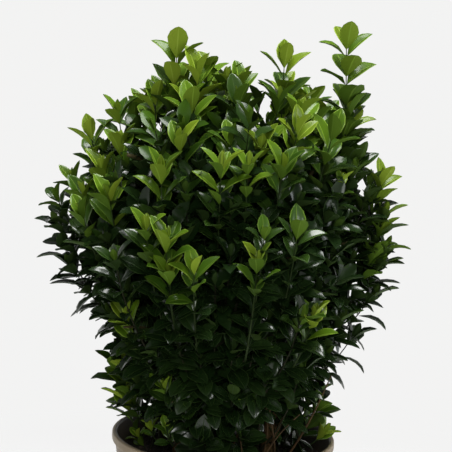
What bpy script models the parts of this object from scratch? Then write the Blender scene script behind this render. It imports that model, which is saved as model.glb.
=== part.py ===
"""A potted Japanese spindle: a dense upright evergreen shrub standing in a round nursery pot.

Lengths are in metres. The origin is the middle of the pot's flat underside, +Z is up and the
front of the shrub faces -Y. The shrub is several stems that rise from the potting soil and fork
into boughs, uneven masses of foliage that close round a hollow, twiggy middle, and upright leafy
shoots that stand out of the top. Pieces that meet are kept a fraction of a millimetre apart.
"""

import math

import bpy
import numpy as np

# The pot
RIM_RADIUS = 0.095
POT_HEIGHT = 0.155
LIP_HEIGHT = 0.0075
LIP_PROUD = 0.0026
WALL = 0.002
FLOOR = 0.003
FOOT_RADIUS = 0.068
DRAIN_RADIUS = 0.0045
DRAIN_CIRCLE = 0.050
DRAINS = 6
DRAIN_TURN = 11.0
POT_SEGMENTS = 36
DRAIN_SEGMENTS = 10

# The soil
SOIL_TOP = 0.138
SOIL_GAP = 0.0005

# The stems and boughs
GAP = 0.0004
STEM_TOP = 0.226
STEM_RADIUS = 0.0046
BOUGH_RADIUS = 0.0029
FLARE = 1.9

# The crown
CROWN_FLOOR = POT_HEIGHT + 0.0025
HOLLOW_RADIUS = 0.052
HOLLOW_SPREAD = 0.05
CAP_FLOOR = 0.386
MASS_GAP = 0.0006
MASS_TURNS = 10
MASS_RINGS = 7
MEETING = 0.006
FULLNESS = 2.5
LUMP = 0.060
RISE = 0.12

# level: name, masses, azimuth of the first, height, reach, thickness, half height, sideways shift
LEVELS = (
    ("low", 6, -62.0, 0.196, 0.101, 0.050, 0.050, 0.000),
    ("middle", 7, -90.0, 0.262, 0.133, 0.070, 0.051, -0.004),
    ("wide", 7, -116.0, 0.331, 0.149, 0.080, 0.052, -0.010),
    ("high", 6, -84.0, 0.394, 0.125, 0.066, 0.048, -0.009),
)

# cap masses: name, centre, half width, half height
CAPS = (
    ("foliage_cap_left", (-0.041, 0.020, 0.421), 0.048, 0.038),
    ("foliage_cap_right", (0.036, 0.021, 0.419), 0.048, 0.038),
    ("foliage_cap_front", (-0.004, -0.040, 0.417), 0.048, 0.037),
)

# upright shoots: name, foot, tip, radius, leaf tiers
SHOOTS = (
    ("shoot_tall_right", (0.086, 0.012, 0.392), (0.084, 0.010, 0.514), 0.0195, 7),
    ("shoot_front_right", (0.034, -0.028, 0.418), (0.034, -0.026, 0.492), 0.0205, 5),
    ("shoot_tall_left", (-0.052, 0.014, 0.420), (-0.056, 0.012, 0.498), 0.0200, 5),
    ("shoot_front_left", (-0.034, -0.026, 0.416), (-0.036, -0.030, 0.477), 0.0180, 4),
    ("shoot_middle", (-0.006, 0.004, 0.418), (-0.007, 0.004, 0.472), 0.0190, 4),
    ("shoot_right", (0.073, -0.040, 0.402), (0.076, -0.044, 0.459), 0.0160, 4),
    ("shoot_outer_left", (-0.077, -0.018, 0.398), (-0.081, -0.020, 0.452), 0.0185, 4),
    ("shoot_far_left", (-0.103, 0.010, 0.386), (-0.109, 0.010, 0.438), 0.0175, 4),
    ("shoot_back_left", (-0.050, 0.062, 0.412), (-0.054, 0.068, 0.474), 0.0190, 4),
    ("shoot_back", (0.006, 0.048, 0.414), (0.006, 0.052, 0.480), 0.0195, 5),
    ("shoot_back_right", (0.054, 0.056, 0.404), (0.058, 0.062, 0.468), 0.0185, 4),
)
SHOOT_SIDES = 7

# stems: name, foot, lean across, lean in depth
STEMS = (
    ("stem_middle", (0.004, 0.002), 0.000, 0.004),
    ("stem_left", (-0.036, -0.010), -0.006, -0.002),
    ("stem_right", (0.037, -0.012), 0.008, -0.002),
    ("stem_back", (0.010, 0.036), 0.002, 0.007),
    ("stem_front", (0.004, -0.035), 0.001, -0.006),
)

# boughs: the stem each leaves, how far up that stem, and the mass it grows into
BOUGHS = (
    ("stem_middle", 1.00, "foliage_cap_left"),
    ("stem_middle", 0.72, "foliage_cap_right"),
    ("stem_left", 1.00, "foliage_high_6"),
    ("stem_left", 0.72, "foliage_wide_7"),
    ("stem_right", 1.00, "foliage_high_2"),
    ("stem_right", 0.66, "foliage_wide_4"),
    ("stem_back", 1.00, "foliage_high_4"),
    ("stem_back", 0.70, "foliage_middle_5"),
    ("stem_front", 1.00, "foliage_high_1"),
    ("stem_front", 0.74, "foliage_wide_1"),
    ("stem_front", 0.50, "foliage_middle_2"),
)
LEAVING = 0.0032
BEND_SHARE = 0.80
BOUGH_SIDES = 6

# colour and roughness of each kind of piece
POT_LOOK = ((0.235, 0.190, 0.140), 0.48)
SOIL_LOOK = ((0.030, 0.022, 0.016), 0.95)
STEM_LOOK = ((0.150, 0.105, 0.055), 0.80)
BOUGH_LOOK = ((0.130, 0.120, 0.045), 0.75)
LEVEL_LOOKS = {
    "low": ((0.010, 0.034, 0.012), 0.50),
    "middle": ((0.014, 0.048, 0.012), 0.48),
    "wide": ((0.022, 0.072, 0.014), 0.46),
    "high": ((0.042, 0.115, 0.016), 0.44),
    "cap": ((0.055, 0.140, 0.018), 0.44),
}
SHOOT_LOOK = ((0.110, 0.220, 0.024), 0.42)


def clear_scene():
    """Take every object out of the open scene."""
    for item in list(bpy.data.objects):
        bpy.data.objects.remove(item, do_unlink=True)


def finish(name, look):
    """A plain material of one colour and roughness."""
    colour, roughness = look
    made = bpy.data.materials.new(name)
    made.use_nodes = True
    shader = made.node_tree.nodes["Principled BSDF"]
    shader.inputs["Base Color"].default_value = (*colour, 1.0)
    shader.inputs["Roughness"].default_value = roughness
    shader.inputs["Metallic"].default_value = 0.0
    made.diffuse_color = (*colour, 1.0)
    return made


def add_mesh(name, surface, place, parent):
    """A mesh object at its own place, from points given in the shrub's own frame."""
    points, faces = surface
    local = np.asarray(points, float) - np.asarray(place, float)
    mesh = bpy.data.meshes.new(name)
    mesh.from_pydata(local.tolist(), [], [tuple(face) for face in faces])
    mesh.update()
    item = bpy.data.objects.new(name, mesh)
    bpy.context.scene.collection.objects.link(item)
    item.location = place
    item.parent = parent
    return item


def add_piece(name, surface, place, parent, look):
    """A visible piece with its own material."""
    item = add_mesh(name, surface, place, parent)
    item.data.materials.append(finish(name, look))
    return item


def add_cutter(name, surface, place, parent):
    """A hidden piece that only cuts others."""
    item = add_mesh(name, surface, place, parent)
    item.hide_render = True
    item.display_type = "WIRE"
    return item


def cut(item, cutter):
    """Take the cutter's shape out of the item."""
    modifier = item.modifiers.new(f"cut by {cutter.name}", "BOOLEAN")
    modifier.operation = "DIFFERENCE"
    modifier.solver = "EXACT"
    modifier.object = cutter


def unit(vectors):
    """Vectors scaled to length one."""
    vectors = np.asarray(vectors, float)
    return vectors / np.linalg.norm(vectors, axis=-1, keepdims=True)


def on_circle(azimuth, radius, height):
    """A point at this azimuth in degrees, radius and height."""
    turn = math.radians(azimuth)
    return np.array([radius * math.cos(turn), radius * math.sin(turn), height])


def joined_rings(rings, first, last):
    """Triangles between rings of points, closed by one point at each end."""
    count, sides = len(rings), len(rings[0])
    points = [first, *np.concatenate(rings), last]
    faces = []
    for k in range(sides):
        after = (k + 1) % sides
        faces.append((0, 1 + after, 1 + k))
        for j in range(count - 1):
            low, high = 1 + j * sides, 1 + (j + 1) * sides
            faces.append((low + k, low + after, high + after))
            faces.append((low + k, high + after, high + k))
        top = 1 + (count - 1) * sides
        faces.append((top + k, top + after, len(points) - 1))
    return np.array(points), faces


def lathe(profile, segments):
    """A profile of (radius, height) turned about Z, from one point on the axis to another."""
    turns = 2 * math.pi * np.arange(segments) / segments
    rings = []
    for radius, height in profile[1:-1]:
        heights = np.full(segments, height)
        rings.append(np.stack([radius * np.cos(turns), radius * np.sin(turns), heights], 1))
    return joined_rings(rings, (0, 0, profile[0][1]), (0, 0, profile[-1][1]))


def tube(path, radii, sides, across):
    """Rings round each point of a path that lies in the plane square to one direction."""
    along = unit(np.gradient(path, axis=0))
    over = np.cross(along, across)
    turns = 2 * math.pi * np.arange(sides) / sides
    rings = []
    for centre, radius, second in zip(path, radii, over):
        ring = np.outer(np.cos(turns), -second) + np.outer(np.sin(turns), across)
        rings.append(centre + radius * ring)
    return joined_rings(rings, path[0], path[-1])


def wall_radius(height):
    """Radius of the pot's outer wall at this height."""
    under_lip = POT_HEIGHT - LIP_HEIGHT
    top = RIM_RADIUS - LIP_PROUD
    return FOOT_RADIUS + (top - FOOT_RADIUS) * height / under_lip


def build_pot(root):
    """A tapering pot with a rolled lip, a flat underside and drain holes through its floor."""
    under_lip = POT_HEIGHT - LIP_HEIGHT
    inside_top = wall_radius(under_lip) - WALL
    profile = (
        (0, 0),
        (FOOT_RADIUS - 0.002, 0),
        (wall_radius(0.002), 0.002),
        (wall_radius(under_lip), under_lip),
        (RIM_RADIUS - 0.0005, under_lip),
        (RIM_RADIUS, under_lip + 0.002),
        (RIM_RADIUS - 0.0004, POT_HEIGHT - 0.001),
        (RIM_RADIUS - 0.0014, POT_HEIGHT),
        (inside_top + 0.0010, POT_HEIGHT),
        (inside_top + 0.0002, POT_HEIGHT - 0.001),
        (wall_radius(FLOOR) - WALL, FLOOR),
        (0, FLOOR),
    )
    pot = add_piece("pot", lathe(profile, POT_SEGMENTS), (0, 0, 0), root, POT_LOOK)
    for number in range(DRAINS):
        place = on_circle(DRAIN_TURN + 360 * number / DRAINS, DRAIN_CIRCLE, 0)
        profile = ((0, -0.002), (DRAIN_RADIUS, -0.002), (DRAIN_RADIUS, 0.006), (0, 0.006))
        points, faces = lathe(profile, DRAIN_SEGMENTS)
        cut(pot, add_cutter(f"drain_cutter_{number + 1}", (points + place, faces), place, root))


def build_soil(root):
    """The potting soil: it fills the pot to a little under the rim and dips towards the wall."""
    bottom = FLOOR + SOIL_GAP
    inset = WALL + SOIL_GAP + 0.0006
    profile = (
        (0, bottom),
        (wall_radius(bottom) - inset, bottom),
        (wall_radius(SOIL_TOP - 0.004) - inset, SOIL_TOP - 0.004),
        (0.074, SOIL_TOP - 0.001),
        (0.062, SOIL_TOP),
        (0, SOIL_TOP),
    )
    add_piece("potting_soil", lathe(profile, 24), (0, 0, bottom), root, SOIL_LOOK)


class Mass:
    """One mass of foliage: an uneven rounded shape that keeps to its own side of its neighbours."""

    def __init__(self, name, level, centre, turn, halves, seed):
        self.name = name
        self.level = level
        self.centre = np.asarray(centre, float)
        self.axes = np.array(
            [
                [math.cos(turn), math.sin(turn), 0],
                [-math.sin(turn), math.cos(turn), 0],
                [0, 0, 1],
            ]
        )
        self.halves = np.asarray(halves, float)
        self.weight = float(np.mean(self.halves)) ** 2
        self.planes = []
        draws = np.random.default_rng(seed)
        self.waves = draws.normal(0, 2.6, (5, 3))
        self.phases = draws.uniform(0, 2 * math.pi, 5)

    def keep_inside(self, normal, offset):
        """Keep the mass where the normal times the point stays under the offset."""
        self.planes.append((np.asarray(normal, float), float(offset)))

    def keep_clear_of(self, other):
        """Keep to this side of the plane that shares the room out with another mass."""
        apart = other.centre - self.centre
        distance = float(np.linalg.norm(apart))
        share = (distance**2 + self.weight - other.weight) / (2 * distance)
        normal = apart / distance
        self.keep_inside(normal, normal @ self.centre + share - MASS_GAP)

    def reach(self, directions):
        """How far the mass goes from its centre: the nearest of its own shape and its planes."""
        local = directions @ self.axes.T
        own = (np.abs(local / self.halves) ** FULLNESS).sum(axis=1) ** (-1 / FULLNESS)
        lumps = np.cos(directions @ self.waves.T + self.phases).sum(axis=1)
        far = own * (1 + LUMP * lumps + RISE * np.maximum(directions[:, 2], 0) ** 2)
        for normal, offset in self.planes:
            towards = directions @ normal
            room = offset - normal @ self.centre
            limit = np.where(towards > 1e-6, room / np.maximum(towards, 1e-6), np.inf)
            far = np.minimum(far, limit)
        return far

    def surface(self, grow=0.0):
        """The mass as rings of points from its foot to its top, each this much further out."""
        tilts = math.pi * (np.arange(MASS_RINGS) + 1) / (MASS_RINGS + 1)
        turns = 2 * math.pi * np.arange(MASS_TURNS) / MASS_TURNS
        rings = []
        for tilt in tilts:
            across, up = math.sin(tilt), -math.cos(tilt)
            ways = np.stack(
                [across * np.cos(turns), across * np.sin(turns), np.full(MASS_TURNS, up)], 1
            )
            far = self.reach(ways) + grow
            rings.append(self.centre + ways * far[:, None])
        poles = np.array([[0, 0, -1.0], [0, 0, 1.0]])
        ends = self.centre + poles * (self.reach(poles) + grow)[:, None]
        return joined_rings(rings, ends[0], ends[1])

    def meets(self, points):
        """Whether any of these points lies in the mass or close to it."""
        apart = points - self.centre
        distance = np.linalg.norm(apart, axis=1)
        return bool((distance < self.reach(unit(apart)) + MEETING).any())


def plan_masses():
    """Every mass of the crown, each kept clear of the others, the hollow and the pot."""
    draws = np.random.default_rng(41)
    masses = []
    for name, count, first, height, reach, thickness, half_height, shift in LEVELS:
        for number in range(count):
            azimuth = first + 360 * number / count + draws.uniform(-5, 5)
            outer = reach * draws.uniform(0.95, 1.05)
            half_depth = thickness / 2 * draws.uniform(0.95, 1.1)
            centre = on_circle(azimuth, outer - half_depth, height + draws.uniform(-0.007, 0.007))
            centre[0] += shift
            half_width = 1.35 * math.pi * (outer - half_depth) / count
            halves = (half_depth, half_width, half_height * draws.uniform(0.95, 1.1))
            title = f"foliage_{name}_{number + 1}"
            masses.append(
                Mass(title, name, centre, math.radians(azimuth), halves, 100 + len(masses))
            )
            inward = -on_circle(azimuth, 1, 0)
            inward[2] = HOLLOW_SPREAD
            offset = -HOLLOW_RADIUS + HOLLOW_SPREAD * SOIL_TOP
            masses[-1].keep_inside(inward, offset)
    for name, centre, half_width, half_height in CAPS:
        halves = (half_width, half_width, half_height)
        masses.append(Mass(name, "cap", centre, 0.0, halves, 100 + len(masses)))
        masses[-1].keep_inside((0, 0, -1), -CAP_FLOOR)
    for mass in masses:
        mass.keep_inside((0, 0, -1), -CROWN_FLOOR)
        for other in masses:
            if other is not mass:
                mass.keep_clear_of(other)
    return masses


def shoot_surface(foot, tip, radius, tiers, grow=0.0):
    """An upright shoot: tiers of paired leaves that turn a quarter each time and close at the tip."""
    foot, tip = np.asarray(foot, float), np.asarray(tip, float)
    turns = 2 * math.pi * np.arange(SHOOT_SIDES) / SHOOT_SIDES
    rings = []
    for tier in range(tiers):
        for share, width in ((0.08, 0.68), (0.66, 1.0)):
            up = (tier + share) / tiers
            size = radius * width * (0.46 + 0.58 * math.sin(math.pi * (0.15 + 0.78 * up)))
            longer, shorter = (size, 0.80 * size)[:: 1 if tier % 2 else -1]
            centre = foot + up * (tip - foot)
            across, over = longer + grow, shorter + grow
            heights = np.full(SHOOT_SIDES, 0.0)
            ring = np.stack([across * np.cos(turns), over * np.sin(turns), heights], 1)
            rings.append(centre + ring)
    stretch = np.array([0, 0, grow])
    return joined_rings(rings, foot - stretch, tip + stretch)


def build_crown(root, masses):
    """The masses of foliage and the shoots that stand in sockets in them."""
    pieces = {}
    for mass in masses:
        look = LEVEL_LOOKS[mass.level]
        pieces[mass.name] = add_piece(mass.name, mass.surface(), mass.centre, root, look)
    for name, foot, tip, radius, tiers in SHOOTS:
        surface = shoot_surface(foot, tip, radius, tiers)
        add_piece(name, surface, foot, root, SHOOT_LOOK)
        socket = shoot_surface(foot, tip, radius, tiers, GAP)
        cutter = add_cutter(f"{name}_socket", socket, foot, root)
        for mass in masses:
            if mass.meets(socket[0]):
                cut(pieces[mass.name], cutter)


def stem_surface(foot, lean, grow=0.0):
    """A tapering stem with a flared foot cut flat at the soil, and a rounded tip."""
    shares = np.array([0.0, 0.03, 0.10, 0.30, 0.65, 0.97, 1.0])
    flare = np.array([FLARE, 1.45, 1.12, 1.0, 0.86, 0.72, 0.62])
    length = STEM_TOP - SOIL_TOP - GAP
    path = np.stack(
        [
            foot[0] + lean[0] * shares**1.6,
            foot[1] + lean[1] * shares**1.6,
            SOIL_TOP + GAP + length * shares,
        ],
        1,
    )
    turns = 2 * math.pi * np.arange(BOUGH_SIDES) / BOUGH_SIDES
    rings = []
    for centre, size in zip(path, flare):
        radius = STEM_RADIUS * size + grow
        ring = np.stack([np.cos(turns), np.sin(turns), np.zeros(BOUGH_SIDES)], 1)
        rings.append(centre + radius * ring)
    top = path[-1] + np.array([0, 0, 0.0006 + grow])
    return joined_rings(rings, path[0], top)


def stem_axis(foot, lean, share):
    """The middle of a stem at this share of its length."""
    length = STEM_TOP - SOIL_TOP - GAP
    return np.array(
        [
            foot[0] + lean[0] * share**1.6,
            foot[1] + lean[1] * share**1.6,
            SOIL_TOP + GAP + length * share,
        ]
    )


def bough_path(axis, end, leader):
    """A curve that carries a stem on, or leaves its side steeply upwards, and bends out."""
    outward = unit((end - axis) * (1, 1, 0))
    start = axis if leader else axis + LEAVING * outward
    rise = end[2] - start[2]
    first = start + np.array([0, 0, 0.40 * rise]) + (0.0 if leader else 0.014) * outward
    hollow = HOLLOW_RADIUS + HOLLOW_SPREAD * (end[2] - SOIL_TOP)
    second = BEND_SHARE * hollow * unit(end * (1, 1, 0)) + (0, 0, end[2] - 0.05 * rise)
    share = np.linspace(0, 1, 8)[:, None]
    back = 1 - share
    return (
        back**3 * start
        + 3 * back**2 * share * first
        + 3 * back * share**2 * second
        + share**3 * end
    )


def build_limbs(root, masses):
    """The stems, and the boughs that each run from a stem to the mass they carry."""
    targets = {mass.name: mass for mass in masses}
    stems = {}
    for name, foot, across, depth in STEMS:
        lean = (across, depth)
        place = (*foot, SOIL_TOP + GAP)
        add_piece(name, stem_surface(foot, lean), place, root, STEM_LOOK)
        grown = add_cutter(f"{name}_clearance", stem_surface(foot, lean, GAP), place, root)
        stems[name] = (foot, lean, grown)
    clearances = {}
    for stem, share, target in BOUGHS:
        foot, lean, stem_cutter = stems[stem]
        axis = stem_axis(foot, lean, share)
        mass = targets[target]
        path = bough_path(axis, mass.centre, share == 1.0)
        start = path[0]
        side = unit(np.cross(mass.centre - start, (0, 0, 1)))
        radii = BOUGH_RADIUS * np.linspace(0.92, 0.60, len(path))
        name = target.replace("foliage", "bough")
        bough = add_piece(name, tube(path, radii, BOUGH_SIDES, side), start, root, BOUGH_LOOK)
        if target not in clearances:
            surface = mass.surface(GAP)
            clearances[target] = add_cutter(f"{target}_clearance", surface, mass.centre, root)
        cut(bough, stem_cutter)
        cut(bough, clearances[target])


def main():
    clear_scene()
    root = bpy.data.objects.new("potted_japanese_spindle", None)
    bpy.context.scene.collection.objects.link(root)
    build_pot(root)
    build_soil(root)
    masses = plan_masses()
    build_crown(root, masses)
    build_limbs(root, masses)


main()
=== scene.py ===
"""The looks of a potted Japanese spindle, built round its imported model.

Every leaf, twig, stem and crumb is a surface worked out with numpy. Lengths are in metres, +Z is
up, the front of the shrub faces -Y and the origin is the middle of the pot's underside.
"""

import itertools
import math

import bpy
import numpy as np
from mathutils import Matrix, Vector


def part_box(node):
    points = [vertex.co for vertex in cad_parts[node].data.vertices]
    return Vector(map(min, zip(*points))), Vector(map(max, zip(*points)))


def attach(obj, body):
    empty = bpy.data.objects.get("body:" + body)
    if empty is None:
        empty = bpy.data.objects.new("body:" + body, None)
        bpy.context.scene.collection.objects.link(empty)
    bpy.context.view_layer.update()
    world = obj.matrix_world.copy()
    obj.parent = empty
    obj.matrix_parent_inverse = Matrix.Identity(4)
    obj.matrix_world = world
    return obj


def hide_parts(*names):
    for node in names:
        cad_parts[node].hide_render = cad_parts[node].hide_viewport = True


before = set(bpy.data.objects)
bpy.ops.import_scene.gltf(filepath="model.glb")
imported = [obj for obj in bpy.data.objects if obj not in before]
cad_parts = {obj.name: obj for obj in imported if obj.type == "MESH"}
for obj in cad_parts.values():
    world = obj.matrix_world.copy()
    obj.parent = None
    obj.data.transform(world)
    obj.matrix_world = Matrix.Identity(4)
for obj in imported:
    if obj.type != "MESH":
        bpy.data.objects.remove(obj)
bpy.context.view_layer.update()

# --- sizes shared with the solids ---------------------------------------------------------------
RIM_RADIUS = 0.095
POT_HEIGHT = 0.155
LIP_HEIGHT = 0.0075
LIP_PROUD = 0.0026
WALL = 0.002
FLOOR = 0.003
FOOT_RADIUS = 0.068
DRAIN_RADIUS = 0.0045
DRAIN_CIRCLE = 0.050
DRAINS = 6
DRAIN_TURN = 11.0
SOIL_TOP = 0.138
SOIL_INSET = 0.0031
STEM_FOOT = SOIL_TOP - 0.002
STEM_TOP = 0.226
STEM_RADIUS = 0.0046
STEM_FLARE = 1.9
BOUGH_RADIUS = 0.0029
HOLLOW_RADIUS = 0.052
HOLLOW_SPREAD = 0.05

# stems: foot and lean
STEMS = {
    "stem_middle": ((0.004, 0.002), (0.000, 0.004)),
    "stem_left": ((-0.036, -0.010), (-0.006, -0.002)),
    "stem_right": ((0.037, -0.012), (0.008, -0.002)),
    "stem_back": ((0.010, 0.036), (0.002, 0.007)),
    "stem_front": ((0.004, -0.035), (0.001, -0.006)),
}

# boughs: stem, share of its length, mass
BOUGHS = (
    ("stem_middle", 1.00, "cap_left"),
    ("stem_middle", 0.72, "cap_right"),
    ("stem_left", 1.00, "high_6"),
    ("stem_left", 0.72, "wide_7"),
    ("stem_right", 1.00, "high_2"),
    ("stem_right", 0.66, "wide_4"),
    ("stem_back", 1.00, "high_4"),
    ("stem_back", 0.70, "middle_5"),
    ("stem_front", 1.00, "high_1"),
    ("stem_front", 0.74, "wide_1"),
    ("stem_front", 0.50, "middle_2"),
)

# crown: height, sideways middle and half width of the outline at the leaf tips
OUTLINE = np.array(
    [
        (0.145, 0.002, 0.081), (0.160, 0.002, 0.084), (0.180, 0.000, 0.088),
        (0.200, -0.002, 0.092), (0.220, 0.000, 0.098), (0.240, 0.000, 0.107),
        (0.260, -0.004, 0.120), (0.280, -0.006, 0.130), (0.300, -0.006, 0.139),
        (0.320, -0.010, 0.145), (0.340, -0.012, 0.145), (0.355, -0.012, 0.142),
        (0.375, -0.006, 0.130), (0.395, -0.008, 0.122), (0.415, -0.009, 0.115),
        (0.435, -0.004, 0.104), (0.450, 0.004, 0.090), (0.465, 0.010, 0.070),
    ]
)

# the open foot on the front right: its height and its range of turn about the middle, in radians
BARE_TOP = 0.190
BARE_FROM = -1.25
BARE_TO = -0.40

# a full leaf's length, its half width as a share of that, and how far leaves reach past a shoot's tip
LEAF_LENGTH = 0.0275
LEAF_WIDTH = 0.272
LEAF_REACH = 0.017
LEAF_THICKNESS = 0.0005
LEAF_DOME = 0.42
LEAF_CLEARANCE = 0.0008

# most triangles in one piece of foliage
PIECE_TRIANGLES = 190_000

SEED = 20264

# shoots with a place of their own: sideways place and height of the tip, share of the way from the
# crown's middle to its front (back if negative), lean outwards in degrees, length, size of the
# leaves, freshness from 0 to 1, which darkens leaves for age and as painted shade, and turn of the
# leaf pairs in degrees
SHOOTS = {
    "spires": (
        (-0.055, 0.477, -0.2, -2, 0.095, 1.12, 0.9, -12),
        (-0.036, 0.463, 0.5, 2, 0.115, 1.08, 0.9, 50),
        (-0.046, 0.454, -0.4, 2, 0.090, 1, 0.55, 60),
        (-0.030, 0.463, -0.1, 3, 0.085, 1, 0.8, 30),
        (-0.002, 0.454, 0.1, 2, 0.115, 1, 0.82, 30),
        (-0.012, 0.456, -0.1, 3, 0.090, 0.95, 0.74, 65),
        (-0.003, 0.442, 0.4, 2, 0.100, 1.15, 0.52, 20),
        (0.006, 0.434, 0, -2, 0.100, 1, 0.4, 40),
        (0.034, 0.474, 0.1, 0, 0.135, 1.08, 0.88, 10),
        (0.048, 0.436, 0.55, 3, 0.130, 1.12, 0.86, 52),
        (0.062, 0.428, 0.3, 5, 0.110, 1.08, 0.72, 38),
        (0.034, 0.434, -0.1, 0, 0.090, 0.95, 0.45, 75),
        (0.0845, 0.492, 0, -3, 0.175, 1.14, 0.84, 20),
        (0.090, 0.436, -0.1, -1, 0.110, 1.05, 0.56, 50),
        (0.086, 0.420, 0.15, 0, 0.100, 1.05, 0.5, 15),
    ),
    "left": (
        (-0.071, 0.438, 0.1, 3, 0.095, 1.08, 0.8, 30),
        (-0.064, 0.439, -0.2, 4, 0.085, 1, 0.66, 50),
        (-0.057, 0.437, 0.05, 2, 0.100, 1, 0.4, 30),
        (-0.101, 0.425, 0, 8, 0.080, 1, 0.7, 75),
        (-0.097, 0.400, 0.4, 8, 0.090, 1.08, 0.8, 70),
        (-0.089, 0.418, -0.4, 8, 0.080, 0.95, 0.5, 10),
        (-0.123, 0.405, 0, 12, 0.090, 1, 0.84, 12),
        (-0.110, 0.379, 0.6, 10, 0.080, 1.08, 0.82, 62),
        (-0.102, 0.363, 0.75, 10, 0.085, 1.12, 0.84, 42),
        (-0.113, 0.392, -0.4, 14, 0.080, 0.95, 0.5, 70),
        (-0.126, 0.358, 0.5, 16, 0.080, 1, 0.74, 48),
        (-0.124, 0.345, 0.75, 16, 0.080, 1, 0.72, 35),
        (-0.136, 0.366, 0, 16, 0.070, 0.9, 0.62, 45),
        (-0.149, 0.350, 0, 26, 0.070, 0.82, 0.55, 40),
        (-0.148, 0.329, -0.1, 30, 0.080, 0.95, 0.3, 75),
    ),
    "front": (
        (-0.060, 0.391, 1, 5, 0.120, 1.08, 0.87, 76),
        (-0.013, 0.399, 1, 4, 0.120, 1.01, 0.87, 68),
        (-0.007, 0.414, 0.6, 3, 0.080, 0.93, 0.64, 25),
        (0.008, 0.401, 1, 3, 0.100, 0.9, 0.78, 80),
        (0.075, 0.414, 0.3, 5, 0.070, 0.85, 0.82, 8),
        (0.085, 0.383, 0.6, 8, 0.050, 0.6, 0.87, 70),
        (0.049, 0.350, 1, 8, 0.090, 1.05, 0.61, 12),
        (0.019, 0.328, 1, 6, 0.090, 0.91, 0.84, 72),
        (0.023, 0.349, 1, 8, 0.070, 0.8, 0.57, 15),
        (-0.069, 0.348, 1, 12, 0.085, 1.01, 0.8, 75),
        (-0.053, 0.341, 1, 10, 0.085, 1.04, 0.84, 60),
        (-0.049, 0.315, 1, 12, 0.080, 1, 0.78, 80),
        (-0.030, 0.320, 1, 10, 0.075, 0.94, 0.85, 28),
    ),
    "right": (
        (0.121, 0.380, 0.05, 10, 0.075, 0.98, 0.96, 35),
        (0.101, 0.396, 0.1, 3, 0.080, 0.95, 0.4, 30),
        (0.096, 0.388, 0.4, 3, 0.080, 0.95, 0.45, 60),
        (0.125, 0.352, 0.05, 14, 0.070, 0.95, 0.7, 80),
        (0.114, 0.362, 0, 8, 0.080, 0.95, 0.4, 20),
        (0.110, 0.377, 0.1, 4, 0.080, 0.9, 0.5, 60),
        (0.107, 0.365, 0.3, 10, 0.080, 1, 0.36, 40),
        (0.123, 0.339, 0.1, 18, 0.080, 0.85, 0.8, 60),
        (0.117, 0.316, 0.4, 18, 0.085, 1, 0.68, 25),
        (0.128, 0.324, -0.1, 22, 0.070, 0.9, 0.55, 70),
        (0.124, 0.310, 0, 26, 0.080, 1, 0.45, 80),
        (0.119, 0.282, 0, 28, 0.080, 1, 0.3, 78),
        (0.105, 0.246, 0, 26, 0.070, 1, 0.25, 80),
    ),
    "low": (
        (0.066, 0.279, 1, 14, 0.080, 0.98, 0.93, 75),
        (0.056, 0.278, 1, 16, 0.080, 1.15, 0.42, 55),
        (0.059, 0.226, 1, 10, 0.090, 1.09, 0.26, 70),
        (-0.083, 0.266, 1, 22, 0.080, 1.02, 0.9, 35),
        (-0.093, 0.319, 1, 16, 0.090, 0.98, 0.4, 80),
        (-0.135, 0.294, 0, 30, 0.080, 1.02, 0.25, 80),
        (-0.112, 0.290, 0.1, 26, 0.080, 1, 0.26, 35),
        (-0.104, 0.268, -0.2, 26, 0.070, 1, 0.24, 10),
        (-0.141, 0.309, -0.1, 26, 0.070, 0.96, 0.28, 20),
        (-0.094, 0.212, 0, 14, 0.050, 0.95, 0.62, 88),
        (-0.087, 0.212, 0.3, 2, 0.060, 0.98, 1.12, 60),
        (-0.085, 0.188, 0.5, 4, 0.045, 0.92, 1.05, 25),
        (-0.076, 0.206, 0.1, 6, 0.070, 1.05, 0.3, 20),
        (-0.051, 0.209, 1, 20, 0.060, 0.72, 0.66, 60),
        (0.079, 0.181, 0.3, 16, 0.050, 0.95, 0.82, 15),
        (0.074, 0.192, 0.6, 16, 0.060, 1.04, 0.4, 60),
        (0.085, 0.160, 0.5, 30, 0.022, 0.8, 1, 55),
        (-0.073, 0.149, 1, 20, 0.018, 0.5, 0.92, 30),
        (-0.061, 0.166, 1, 8, 0.018, 0.46, 0.95, 75),
        (-0.047, 0.171, 1, 10, 0.020, 0.5, 0.9, 15),
    ),
}

# valleys in the crown's top, from front to back: sideways middle, half width, and the height that
# only named shoots pass
VALLEYS = ((0.020, 0.010, 0.412), (0.075, 0.010, 0.424))

# narrow openings that run from front to back and fall by SLOPE as they go: the place (x, z) where
# they cross the middle of the crown, and half their width and height
SLOPE = 0.173
OPENINGS = (
    (0.0205, 0.434, 0.0022, 0.0110),
    (-0.0660, 0.412, 0.0015, 0.0060),
    (-0.1070, 0.285, 0.0010, 0.0030),
    (0.0240, 0.364, 0.0010, 0.0020),
    (0.1060, 0.376, 0.0012, 0.0040),
    (0.0950, 0.299, 0.0012, 0.0020),
    (-0.0010, 0.208, 0.0012, 0.0012),
    (-0.0530, 0.184, 0.0010, 0.0012),
)


# --- materials ----------------------------------------------------------------------------------
class Wire:
    """One value in a material; arithmetic on it adds Math nodes."""

    def __init__(self, finish, socket):
        self.finish = finish
        self.socket = socket

    def maths(self, operation, *values):
        return self.finish.node("ShaderNodeMath", {"operation": operation}, dict(enumerate(values)))

    def __add__(self, other):
        return self.maths("ADD", self, other)

    def __radd__(self, other):
        return self.maths("ADD", other, self)

    def __sub__(self, other):
        return self.maths("SUBTRACT", self, other)

    def __rsub__(self, other):
        return self.maths("SUBTRACT", other, self)

    def __mul__(self, other):
        return self.maths("MULTIPLY", self, other)

    def __rmul__(self, other):
        return self.maths("MULTIPLY", other, self)


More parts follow.
